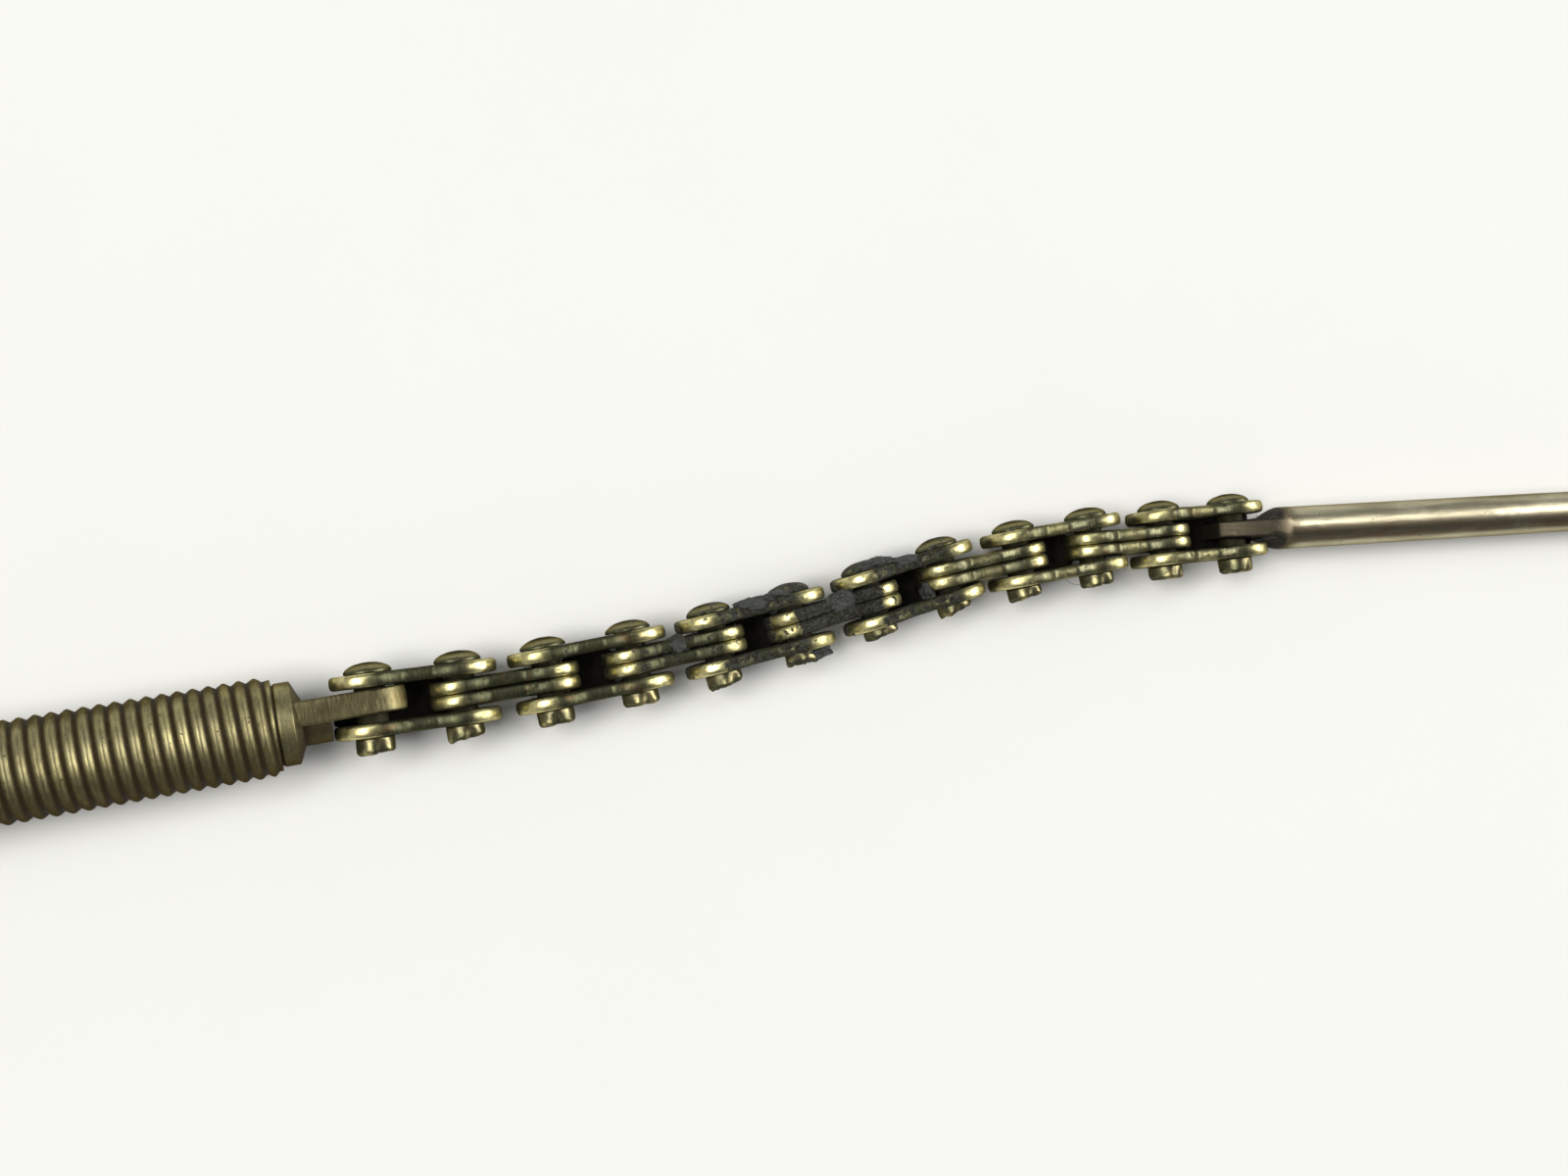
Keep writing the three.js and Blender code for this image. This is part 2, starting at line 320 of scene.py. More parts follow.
def fractal(points, scale, seed, octaves=3):
    """Smooth noise from about -1 to 1 at each point."""
    shift = Vector((seed * 7.31, seed * 3.17, seed * 5.93))
    return np.array(
        [noise.fractal(Vector(p) * scale + shift, 1.0, 2.0, octaves) for p in points]
    )


def new_piece(name, points, faces, attributes, sharp=180):
    """A smooth-shaded object from points in millimetres, with values painted on them. Edges
    over the sharp angle in degrees stay crisp."""
    if not len(faces):
        raise RuntimeError(f"{name} has no faces")
    mesh = bpy.data.meshes.new(name)
    mesh.from_pydata((np.asarray(points) * MM).tolist(), [], faces)
    for key, values in attributes.items():
        painted = mesh.attributes.new(key, "FLOAT", "POINT")
        painted.data.foreach_set("value", np.asarray(values, np.float32))
    work = bmesh.new()
    work.from_mesh(mesh)
    bmesh.ops.recalc_face_normals(work, faces=work.faces)
    work.to_mesh(mesh)
    work.free()
    mesh.shade_smooth()
    if sharp < 180:
        mesh.set_sharp_from_angle(angle=math.radians(sharp))
    piece = bpy.data.objects.new(name, mesh)
    bpy.context.scene.collection.objects.link(piece)
    return piece


def side_faces(first, levels, sides):
    """Faces between rings of points that follow each other from a first index."""
    faces = []
    for level in range(levels - 1):
        for side in range(sides):
            a = first + level * sides + side
            b = first + level * sides + (side + 1) % sides
            faces.append((a, b, b + sides, a + sides))
    return faces


def loft(rings):
    """Points and faces of a closed body through rings of equal length."""
    rings = np.asarray(rings, float)
    count, sides, _ = rings.shape
    points = np.concatenate([rings.reshape(-1, 3), rings[0].mean(0)[None], rings[-1].mean(0)[None]])
    faces = side_faces(0, count, sides)
    first, last = count * sides, count * sides + 1
    for side in range(sides):
        following = (side + 1) % sides
        faces.append((first, following, side))
        base = (count - 1) * sides
        faces.append((last, base + side, base + following))
    return points, faces


def set_in(points, depth):
    """Points of a round body along X, each moved in towards its axis by a depth."""
    radius = np.hypot(points[:, 1], points[:, 2]) + 1e-9
    return points * np.stack([np.ones(len(points)), 1 - depth / radius, 1 - depth / radius], 1)


def body_points(work):
    """Points and faces of a bmesh, which is then freed."""
    points = np.array([v.co[:] for v in work.verts])
    faces = [tuple(v.index for v in face.verts) for face in work.faces]
    work.free()
    return points, faces


def place(piece, matrix, metal, nodes=()):
    """Puts a piece on the root body, in place of its nodes in the frame."""
    piece.matrix_world = matrix
    piece.data.materials.append(material(metal))
    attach(piece, "root")
    if nodes:
        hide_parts(*nodes)


def joined(first, second):
    """Points, faces and painted values of two closed bodies as one."""
    points, faces, painted = first
    more_points, more_faces, more_painted = second
    moved = [tuple(i + len(points) for i in face) for face in more_faces]
    values = {key: np.concatenate([painted[key], more_painted[key]]) for key in painted}
    return np.concatenate([points, more_points]), faces + moved, values


# --- Materials -------------------------------------------------------------------------


class NodeDesk:
    """Short calls for wiring one material."""

    def __init__(self, name):
        self.material = bpy.data.materials.new(name)
        self.material.use_nodes = True
        self.tree = self.material.node_tree
        self.tree.nodes.clear()
        self.shader = self.tree.nodes.new("ShaderNodeBsdfPrincipled")
        self.add("OutputMaterial", {"Surface": self.shader.outputs["BSDF"]})
        self.place = self.add("TexCoord", {})["Object"]

    def put(self, socket, value):
        """Links a socket, or sets it to a number, a vector or a colour."""
        if isinstance(value, bpy.types.NodeSocket):
            self.tree.links.new(value, socket)
        elif socket.type == "RGBA":
            socket.default_value = (*value[:3], 1.0)
        else:
            socket.default_value = value

    def add(self, kind, values, **settings):
        """The outputs of a new node, with its inputs filled in by name or number."""
        node = self.tree.nodes.new(f"ShaderNode{kind}")
        for key, value in settings.items():
            setattr(node, key, value)
        for socket, value in values.items():
            self.put(node.inputs[socket], value)
        return node.outputs

    def stretched(self, x, y, z):
        """Object coordinates in millimetres, drawn out along an axis by a small factor."""
        return self.add("Mapping", {"Vector": self.place, "Scale": (x / MM, y / MM, z / MM)})[0]

    def noise(self, vector, scale, detail=3.0, roughness=0.55):
        values = {"Vector": vector, "Scale": scale, "Detail": detail, "Roughness": roughness}
        return self.add("TexNoise", values)["Fac"]

    def cells(self, vector, scale):
        return self.add("TexVoronoi", {"Vector": vector, "Scale": scale})["Distance"]

    def painted(self, name):
        return self.add("Attribute", {}, attribute_name=name)["Fac"]

    def ramp(self, value, low, high, start=0.0, end=1.0):
        values = {"Value": value, "From Min": low, "From Max": high, "To Min": start, "To Max": end}
        return self.add("MapRange", values, interpolation_type="SMOOTHSTEP")["Result"]

    def math(self, operation, first, second):
        return self.add("Math", {0: first, 1: second}, operation=operation, use_clamp=True)[0]

    def mix(self, share, first, second):
        """A colour between two colours."""
        return self.add("Mix", {"Factor": share, 6: first, 7: second}, data_type="RGBA")[2]

    def blend(self, share, first, second):
        """A number between two numbers."""
        return self.add("Mix", {"Factor": share, 2: first, 3: second}, data_type="FLOAT")[0]

    def bump(self, height, distance, strength, below=None):
        values = {"Height": height, "Distance": distance * MM, "Strength": strength}
        if below is not None:
            values["Normal"] = below
        return self.add("Bump", values)["Normal"]

    def finished(self, values):
        """The material, with its shader's sockets filled in."""
        for socket, value in values.items():
            self.put(self.shader.inputs[socket], value)
        return self.material


def aged_metal(name, tarnish, deep, bright, dirt, grain, roughness, bump_depth, patch_grain=(1, 1, 1)):
    """Tarnished metal, rubbed bright by wear, pitted, with grease and matt grime on it, and darkened by
    painted shade where a piece paints it. The first four are colours of the finishes. The grains give how
    far fine lines and tarnish patches are drawn out along each axis."""
    colours = bpy.context.scene.chain_finishes
    tarnish, deep, bright, dirt = (getattr(colours, key) for key in (tarnish, deep, bright, dirt))
    desk = NodeDesk(name)
    plain = desk.stretched(1, 1, 1)
    lines = desk.stretched(*grain)

    patches = desk.ramp(desk.noise(desk.stretched(*patch_grain), 0.8, 4), 0.36, 0.62, 0.4, 1)
    # Where a piece paints shade, the tarnish patches give way to the darker colour: painted shade.
    patches = desk.math("SUBTRACT", patches, desk.painted("deep"))
    surface = desk.mix(patches, deep, tarnish)
    drawn = desk.noise(lines, 13.0, 3, 0.6)
    surface = desk.mix(desk.ramp(drawn, 0.45, 0.75, 0, 0.3), surface, bright)
    speckle = desk.noise(plain, 7.0, 5, 0.7)
    surface = desk.mix(desk.ramp(speckle, 0.54, 0.74, 0, 0.12), surface, bright)

    breakup = desk.noise(plain, 2.6, 5, 0.7)
    worn = desk.math("MULTIPLY", desk.painted("wear"), desk.ramp(breakup, 0.28, 0.6, 0.3, 1))
    surface = desk.mix(worn, surface, bright)
    warm = desk.ramp(desk.noise(plain, 1.7, 4, 0.6), 0.56, 0.72, 0, 0.5)
    surface = desk.mix(desk.math("MULTIPLY", warm, worn), surface, colours.gold)
    # Painted shade: the darker colour laid over the rest where a piece paints shade.
    surface = desk.mix(desk.math("MULTIPLY", desk.painted("deep"), 0.85), surface, deep)

    pit_field = desk.ramp(desk.noise(plain, 1.2, 3), 0.53, 0.68)
    pits = desk.math("MULTIPLY", desk.ramp(desk.cells(plain, 5.5), 0.12, 0.24, 1, 0), pit_field)
    surface = desk.mix(pits, surface, colours.grease)
    stain = desk.math("MULTIPLY", desk.painted("rust"), desk.ramp(breakup, 0.4, 0.6))
    surface = desk.mix(stain, surface, colours.rust)

    # The groove value lays on the dirt colour: dirt in the stud's thread and on the plates, painted shade
    # on the rod, the rivets and the stud's shoulder and neck.
    groove = desk.math("MULTIPLY", desk.painted("groove"), desk.ramp(speckle, 0.2, 0.5, 0.75, 1))
    surface = desk.mix(groove, surface, dirt)
    dust = desk.math("ADD", desk.painted("grime"), desk.ramp(breakup, 0.3, 0.7, -0.35, 0.35))
    dust = desk.ramp(dust, 0.35, 0.65)
    lint = desk.mix(desk.ramp(speckle, 0.4, 0.65), colours.grease, colours.grime)
    covered = desk.math("MAXIMUM", dust, desk.math("MULTIPLY", groove, 0.7))

    rough = desk.ramp(patches, 0, 1, roughness + 0.1, roughness)
    rough = desk.blend(worn, rough, roughness - 0.02)
    rough = desk.blend(pits, rough, 0.7)
    normal = desk.bump(drawn, bump_depth, 0.35)
    normal = desk.bump(speckle, bump_depth * 0.6, 0.15, normal)
    normal = desk.bump(desk.math("SUBTRACT", 1.0, pits), bump_depth * 1.6, 0.8, normal)
    return desk.finished(
        {
            "Base Color": desk.mix(dust, surface, lint),
            "Metallic": desk.ramp(covered, 0, 1, 0.95, 0.1),
            "Roughness": desk.blend(covered, rough, 0.78),
            "Specular Tint": (0.3, 0.27, 0.2),
            "Normal": normal,
        }
    )


# Colours, grain, roughness and bump depth in millimetres of each metal, and for the rod
# the grain of its patches
METALS = {
    "plate_metal": ("plate_tarnish", "plate_deep", "worn", "grease", (1, 0.1, 1), 0.3, 0.006),
    "rivet_metal": ("stud_tarnish", "plate_deep", "worn", "grease", (1, 1, 1), 0.29, 0.01),
    "stud_metal": ("stud_tarnish", "stud_deep", "worn", "groove_dirt", (1.6, 0.15, 0.15), 0.44, 0.006),
    "rod_metal": ("rod_steel", "rod_deep", "rod_bright", "grease", (0.04, 1, 1), 0.3, 0.01, (0.12, 1, 1)),
}


def matt_grime(name):
    """Dry grease with dust and lint in it."""
    colours = bpy.context.scene.chain_finishes
    desk = NodeDesk(name)
    clumps = desk.noise(desk.stretched(1, 1, 1), 2.4, 5, 0.65)
    threads = desk.noise(desk.stretched(0.35, 1, 1.6), 9.0, 5, 0.7)
    surface = desk.mix(desk.ramp(clumps, 0.36, 0.62), colours.grease, colours.grime)
    light = [min(1.0, 2.6 * c) for c in colours.grime]
    return desk.finished(
        {
            "Base Color": desk.mix(desk.ramp(threads, 0.52, 0.74, 0, 0.8), surface, light),
            "Roughness": desk.ramp(clumps, 0.3, 0.7, 0.55, 0.9),
            "Normal": desk.bump(threads, 0.05, 0.9, desk.bump(clumps, 0.08, 0.8)),
        }
    )


def black_shade_grease(name):
    """Old black grease with a dull sheen, which also stands in as painted shade between the plates."""
    grease = bpy.context.scene.chain_finishes.grease
    desk = NodeDesk(name)
    clumps = desk.noise(desk.stretched(1, 1, 1), 3.0, 4, 0.6)
    darker, lighter = ([share * c for c in grease] for share in (0.25, 0.6))
    return desk.finished(
        {
            "Base Color": desk.mix(desk.ramp(clumps, 0.35, 0.7), darker, lighter),
            "Roughness": desk.ramp(clumps, 0.3, 0.7, 0.75, 0.95),
            "Specular IOR Level": 0.15,
            "Normal": desk.bump(clumps, 0.06, 0.6),
        }
    )


DIRTS = {"grime_matt": matt_grime, "grease_black": black_shade_grease}


def material(name):
    """A metal or dirt by its name, made on its first use."""
    made = bpy.data.materials.get(name)
    if made is None:
        made = aged_metal(name, *METALS[name]) if name in METALS else DIRTS[name](name)
    return made


# --- Threaded stud ---------------------------------------------------------------------


def thread_depth(x, angle, sizes, collar_start):
    """How far the groove sinks at each angle, from 0 on a crest to 1 in the root."""
    turn_share = x / sizes.pitch - angle / (2 * math.pi)
    sunk = np.abs((turn_share - np.floor(turn_share)) * 2 - 1)
    groove = 0.8 * smoothstep(0, 1, sunk) + 0.2 * sunk**6
    lead_in = smoothstep(-sizes.reach, -sizes.reach + 0.5, x)
    run_out = 1 - smoothstep(collar_start - 0.25, collar_start, x)
    return groove * lead_in * run_out


def stud_rings(sizes):
    """Rings of the round part, from the free end to the cut face of the neck, with the dirt on each: 0
    where it is clean, 1 in the root of the thread. On the shoulder and the neck this value is painted
    shade."""
    angle = np.linspace(0, 2 * math.pi, sizes.sides, endpoint=False)
    crest, collar, neck, start = sizes.crest, sizes.collar, sizes.neck, -sizes.reach
    collar_end = -(sizes.shoulder + sizes.cone)
    collar_start = collar_end - sizes.collar_length
    last_crest_fall = 0.16
    undercut = 0.07
    collar_rounding = 0.02
    rings, dirt = [], []

    def add(x, radius, painted):
        radius = np.broadcast_to(radius, angle.shape)
        rings.append(np.stack([np.full(sizes.sides, x), radius * np.cos(angle), radius * np.sin(angle)], 1))
        dirt.append(np.broadcast_to(painted, angle.shape))

    for share in (0.3, 0.6, 0.85, 1.0):
        add(start, (crest - sizes.chamfer) * share, 0.25)
    row = sizes.pitch / sizes.rows
    for x in np.arange(start + row, collar_start, row):
        groove = thread_depth(x, angle, sizes, collar_start)
        bevel = max(0.0, sizes.chamfer - (x - start))
        fall = last_crest_fall * smoothstep(collar_start - 0.45, collar_start - 0.05, x)
        radius = np.minimum(crest - fall - sizes.depth * groove, crest - bevel * 0.8)
        add(x, radius, smoothstep(0.24, 0.85, groove))
    add(collar_start - 0.01, collar - undercut, 0.6)
    add(collar_start + 0.03, collar - undercut, 0.6)
    add(collar_start + 0.07, collar - collar_rounding, 0.3)
    add(collar_start + 0.13, collar, 0.0)
    for x in np.linspace(collar_start + 0.2, collar_end - 0.06, 8):
        add(x, collar, 0.0)
    # Painted shade on the sloping shoulder and the neck, in the groove dirt colour.
    for share in np.linspace(0, 1, 8):
        radius = collar - collar_rounding + (neck - collar + collar_rounding) * share
        add(collar_end - 0.03 + share * sizes.cone, radius, 0.45 + 0.4 * share)
    fillet = -sizes.shoulder
    for x in np.linspace(fillet + 0.06, -sizes.neck_end - 0.04, 10):
        add(x, neck, 0.75 * (1 - smoothstep(fillet, fillet + 0.3, x)))
    for share in (0.97, 0.8, 0.5, 0.2):
        add(-sizes.neck_end, neck * share, 0.5)
    return rings, dirt


def tongue_outline(sizes):
    """Outline in X and Z of the flat tongue, from inside the collar to its round end."""
    width = sizes.tongue_width
    start = -(sizes.shoulder + sizes.cone) - 0.05
    side = np.linspace(start, 0, 44)[:-1]
    arc = np.radians(np.linspace(90, -90, 90))
    upper = np.stack([side, np.full(len(side), width)], 1)
    tip = np.stack([width * np.cos(arc), width * np.sin(arc)], 1)
    lower = np.stack([side[::-1], np.full(len(side), -width)], 1)
    back = np.stack([np.full(20, start), np.linspace(-width, width, 22)[1:-1]], 1)
    return np.concatenate([upper, tip, lower, back])


class CHAIN_OT_stud(Operator):
    """Add the threaded stud with its collar, neck and tongue"""

    bl_idname = "indicator_chain.add_stud"
    bl_label = "Threaded stud"

    def execute(self, context):
        sizes = in_mm(context.scene.chain_stud)
        turned = self.turned_part(sizes)
        tongue = self.tongue(sizes, in_mm(context.scene.chain_rivets).shank + 0.05)
        stud = new_piece("threaded_stud_turned", *joined(turned, tongue), sharp=50)
        place(stud, stud_frame(sizes.reach), "stud_metal", ["threaded_stud"])
        return {"FINISHED"}

    @staticmethod
    def turned_part(sizes):
        """Thread, collar and neck, cut flat under the tongue's upper face."""
        rings, dirt = stud_rings(sizes)
        points, faces = loft(rings)
        groove = np.concatenate([*dirt, [0.25, 0.5]])
        tongue_top = sizes.tongue_offset + sizes.tongue / 2 - 0.01
        is_neck = points[:, 0] > -sizes.shoulder + 0.02
        points[is_neck, 1] = np.minimum(points[is_neck, 1], tongue_top)
        points = set_in(points, DENT_DEPTH * np.maximum(fractal(points, 0.9, 3, 2), 0))
        wear = 0.18 + 0.25 * smoothstep(0.1, 0.6, fractal(points, 0.6, 8, 2))
        # Painted shade: darker towards the lower flank and the upper edge, and on the neck under the
        # tongue.
        low = smoothstep(-0.1, -1.5, points[:, 1])
        high = smoothstep(1.4, 1.9, points[:, 1])
        painted = {
            "groove": groove,
            "wear": wear * (1 - groove),
            "grime": 0.3 * smoothstep(0.25, 0.8, fractal(points, 0.5, 21, 2)) * (0.2 + groove),
            "rust": smoothstep(0.3, 0.6, fractal(points, 1.3, 5, 2)) * groove * 0.5,
            "deep": np.clip(0.95 * low + 0.6 * high + 0.9 * is_neck, 0, 1),
        }
        return points, faces, painted

    @staticmethod
    def tongue(sizes, hole):
        """Flat tongue with a round end, which starts inside the collar."""
        face_y = sizes.tongue_offset - sizes.tongue / 2
        shape = (tongue_outline(sizes), (0.0,), hole, sizes.tongue, face_y)
        seed, edge_round, relief = 7, 0.1, 0.02
        points, faces, on_edge = slab_mesh(*shape, seed, edge_round, relief)
        end = smoothstep(0.5, 1.2, points[:, 0])
        painted = {
            "groove": 0.6 * (1 - on_edge) + 0.2 * smoothstep(0.2, 0.6, fractal(points, 1.1, 13, 2)),
            "wear": on_edge * (0.06 + 0.6 * end),
            # Painted shade along the tongue's edge, fading out towards its round end.
            "deep": 0.4 * on_edge * (1 - end),
            "grime": np.zeros(len(points)),
            "rust": 0.5 * smoothstep(0.7, 0.95, points[:, 0]) * smoothstep(0, 0.3, points[:, 1]),
        }
        return points, faces, painted


# --- Plain rod -------------------------------------------------------------------------


def rod_ring(x, half, width, power, sides):
    """A section across X between a circle (power 2) and a rectangle (high power)."""
    angle = np.linspace(0, 2 * math.pi, sides, endpoint=False) + math.pi / sides
    y, z = np.cos(angle), np.sin(angle)
    reach = (np.abs(y) ** power + np.abs(z) ** power) ** (-1 / power)
    return np.stack([np.full(sides, x), half * y * reach, width * z * reach], 1)


def rod_rings(sizes):
    """Rings of the rod, from the tip of its flat tongue to its free end."""
    radius, reach, chamfer = sizes.radius, sizes.reach, sizes.chamfer
    back, root, taper = sizes.back, sizes.root_reach, sizes.taper_end
    flatness = 12

    def tongue_section(x):
        share = smoothstep(-back, root, x)
        half = (sizes.tip + (sizes.root - sizes.tip) * share) / 2
        width = sizes.tip_width + (sizes.root_width - sizes.tip_width) * share
        return half, width

    rings = []
    half, width = tongue_section(-back)
    for inset, shrink in ((0.0, 0.6), (0.0, 0.86), (0.004, 0.9), (0.035, 0.97)):
        rings.append(rod_ring(-back + inset, half * shrink, width * shrink, flatness, sizes.sides))
    for x in np.linspace(-back + 0.09, root, 40):
        rings.append(rod_ring(x, *tongue_section(x), flatness, sizes.sides))
    half, width = tongue_section(root)
    for share in np.linspace(0, 1, 30)[1:]:
        widened = float(smoothstep(0, 1, share))
        thickened = float(smoothstep(0.1, 0.72, share))
        power = 2 + (flatness - 2) * (1 - widened) ** 2.2
        section = (half + (radius - half) * thickened, width + (radius - width) * widened)
        rings.append(rod_ring(root + (taper - root) * share, *section, power, sizes.sides))
    for x in np.linspace(taper + 0.12, reach - chamfer, 230):
        rings.append(rod_ring(x, radius, radius, 2, sizes.sides))
    for share in (0.25, 0.5, 0.75, 1.0):
        r = radius - chamfer * share
        rings.append(rod_ring(reach - chamfer * (1 - share), r, r, 2, sizes.sides))
    rings.append(rod_ring(reach, radius * 0.4, radius * 0.4, 2, sizes.sides))
    return rings


def rod_paint(points, drawn, sizes):
    """Painted shade round the tongue in the grease colour, and dull and reddish bands of painted shade
    drawn out along the rod.
    """
    x, y = points[:, 0], points[:, 1]
    round_part = smoothstep(sizes.root_reach, sizes.taper_end, x)
    flat_part = 1 - round_part
    # Painted shade in the crease under the crook, on the tongue's tip face and its flat faces, along the
    # lower flank and round the crook.
    crease = smoothstep(1.2, 1.7, x) * (1 - smoothstep(1.9, 2.5, x)) * smoothstep(-0.1, -0.5, y)
    tip_face = 1 - smoothstep(-sizes.back + 0.01, -sizes.back + 0.05, x)
    lower_shade_band = smoothstep(0.15, -0.25, y) * (1 - smoothstep(-0.65, -0.9, y)) * round_part
    crook = smoothstep(1.4, 1.8, x) * (1 - smoothstep(2.6, 3.4, x))
    dull = 0.4 + 0.3 * smoothstep(-0.8, 1.2, x) + 0.8 * smoothstep(0.3, 0.36, np.abs(y))
    return {
        "groove": np.clip(0.9 * crease + tip_face + dull * flat_part, 0, 1),
        "wear": (0.1 + 0.3 * smoothstep(0.0, 0.6, fractal(drawn, 0.8, 9, 3))) * round_part,
        "grime": np.zeros(len(points)),
        # The reddish stain in the lower band is painted shade in the rust colour.
        "rust": 0.35 * smoothstep(0.0, 0.5, fractal(drawn, 0.9, 44, 3)) * lower_shade_band,
        "deep": np.clip(0.9 * lower_shade_band + 0.6 * crook + 0.85 * flat_part, 0, 1),
    }


class CHAIN_OT_rod(Operator):
    """Add the plain rod with its hammered tongue"""

    bl_idname = "indicator_chain.add_rod"
    bl_label = "Plain rod"

    def execute(self, context):
        sizes = in_mm(context.scene.chain_rod)
        points, faces = loft(rod_rings(sizes))
        drawn = points * np.array([0.35, 1, 1])
        dents = np.maximum(fractal(drawn, 1.0, 31, 3), 0)
        nicks = smoothstep(0.35, 0.7, fractal(points, 2.2, 17, 2))
        points = set_in(points, DENT_DEPTH * (dents + nicks))
        rod = new_piece("rod_drawn", points, faces, rod_paint(points, drawn, sizes), sharp=50)
        place(rod, rod_frame(sizes.reach), "rod_metal", ["rod"])
        return {"FINISHED"}


# --- Plates ----------------------------------------------------------------------------


def plate_outline(end, waist, steps):
    """Outline in X and Z round both rivets, drawn in smoothly between them."""
    start = math.radians(115)
    arc = np.linspace(start, -start, steps)
    right = np.stack([PITCH + end * np.cos(arc), end * np.sin(arc)], 1)
    x = np.linspace(PITCH + end * math.cos(start), -end * math.cos(start), steps)[1:-1]
    first = np.sqrt(np.maximum(end**2 - x**2, 0))
    second = np.sqrt(np.maximum(end**2 - (x - PITCH) ** 2, 0))
    hardness = 11.0
    z = np.log(np.exp(hardness * first) + np.exp(hardness * second) + np.exp(hardness * waist))
    below = np.stack([x, -z / hardness], 1)
    left = np.stack([PITCH - right[:, 0], -right[:, 1]], 1)
    above = np.stack([PITCH - below[:, 0], -below[:, 1]], 1)
    return np.concatenate([right, below, left, above])


def outline_normals(outline):
    """Direction across the outline at each of its points."""
    tangent = np.roll(outline, -1, 0) - np.roll(outline, 1, 0)
    tangent /= np.linalg.norm(tangent, axis=1)[:, None]
    return np.stack([-tangent[:, 1], tangent[:, 0]], 1)


def edge_section(thickness, rounding):
    """Steps across a plate's edge: how far each is set in, and its height."""
    quarter = np.radians(np.linspace(0, 90, 6))
    section = [(rounding + 0.1, 0.0), (rounding + 0.03, 0.0)]
    section += [(rounding * (1 - math.sin(a)), rounding * (1 - math.cos(a))) for a in quarter]
    middle = np.linspace(rounding, thickness - rounding, 6)[1:-1]
    bulge = 0.014
    section += [(-bulge * math.sin(math.pi * y / thickness) ** 2, y) for y in middle]
    upper = [(inset, thickness - y) for inset, y in section[: 2 + len(quarter)]]
    return section + upper[::-1]


def slab_mesh(outline, holes, hole, thickness, face_y, seed, rounding, relief):
    """Points, faces and each point's place on the edge (0 on the flat faces) of a flat
    piece with rounded edges and round holes."""
    normals = outline_normals(outline)
    if (normals[0] @ (outline[0] - outline.mean(0))) < 0:
        normals = -normals
    section = edge_section(thickness, rounding)
    count = len(outline)
    points = []
    for inset, y in section:
        ring = outline - normals * inset
        points.append(np.stack([ring[:, 0], np.full(count, face_y + y), ring[:, 1]], 1))
    points = np.concatenate(points)
    on_edge = np.repeat([1.0 if inset < rounding else 0.0 for inset, _ in section], count)
    outward = np.tile(np.stack([normals[:, 0], np.zeros(count), normals[:, 1]], 1), (len(section), 1))
    dents = fractal(points, 1.3, seed, 3)
    nicks = smoothstep(0.42, 0.75, fractal(points, 3.4, seed + 50, 2))
    depth = relief * (np.maximum(dents, -0.3) + 1.6 * nicks)
    points = points - outward * (depth * on_edge)[:, None]
    faces = side_faces(0, len(section), count)

    sides, rim, bevel, bevel_depth = 40, 0.07, 0.02, 0.03
    angle = np.linspace(0, 2 * math.pi, sides, endpoint=False)
    all_points = [points]
    loops = {0: [], 1: []}
    first = len(points)
    rings = [(hole + rim, 0.0), (hole + bevel, 0.0), (hole, bevel_depth)]
    rings += [(radius, thickness - y) for radius, y in reversed(rings)]
    for centre in holes:
        for radius, y in rings:
            x = centre + radius * np.cos(angle)
            all_points.append(np.stack([x, np.full(sides, face_y + y), radius * np.sin(angle)], 1))
        faces += side_faces(first, len(rings), sides)
        loops[0].append(list(range(first, first + sides)))
        last = first + (len(rings) - 1) * sides
        loops[1].append(list(range(last, last + sides)))
        first += len(rings) * sides
    points = np.concatenate(all_points)
    on_edge = np.concatenate([on_edge, np.zeros(len(points) - len(on_edge))])
    rims = {0: list(range(count)), 1: list(range((len(section) - 1) * count, len(section) * count))}
    for cap in (0, 1):
        polygons = [rims[cap], *loops[cap]]
        flat = [index for polygon in polygons for index in polygon]
        drawn = [[Vector((points[i][0], points[i][2], 0)) for i in polygon] for polygon in polygons]
        faces += [tuple(flat[i] for i in corner) for corner in tessellate_polygon(drawn)]
    return points, faces, on_edge


def plate_paint(points, on_edge, end, link, seed):
    """Wear on the outward side of each round end, grease in the waist and the faces, and painted shade on
    the inward side of each end and in the waist.
    """
    x = points[:, 0]
    waist_wear = LINK_WAIST_WEAR[link - 1]
    outward = np.maximum(-x, x - PITCH) / end
    ends = smoothstep(-0.12, 0.3, outward) * (1 - smoothstep(0.86, 1.02, outward))
    middle = 1 - smoothstep(0.0, 0.85, np.abs(x - PITCH / 2))
    inward = np.minimum(x, PITCH - x)
    patches = smoothstep(-0.1, 0.45, fractal(points, 0.9, seed + 5, 3))
    scuffs = smoothstep(-0.05, 0.35, fractal(points, 3.1, seed + 1, 3))
    worn_ends = ends * (1 - 0.65 * waist_wear * scuffs)
    wear = np.maximum(worn_ends, middle * waist_wear * (0.45 + 0.55 * patches))
    grime = LINK_GRIME[link - 1] * (1.15 - 0.75 * ends)
    grime = grime + 0.12 * fractal(points, 1.1, seed + 9, 2)
    flat = 1 - on_edge
    groove = flat * 0.45 + on_edge * 0.25 * smoothstep(0.1, 0.7, fractal(points, 1.5, seed + 2, 2))
    return {
        "wear": wear * on_edge + 0.15 * flat,
        "grime": np.clip(grime, 0, 1),
        "groove": groove,
        "rust": 0.3 * smoothstep(0.2, 0.6, fractal(points, 1.4, seed + 4, 2)),
        # Painted shade between the rivets, less where the waist is rubbed bright.
        "deep": 0.9 * smoothstep(-0.1, 0.35, inward) * (1 - waist_wear),
    }


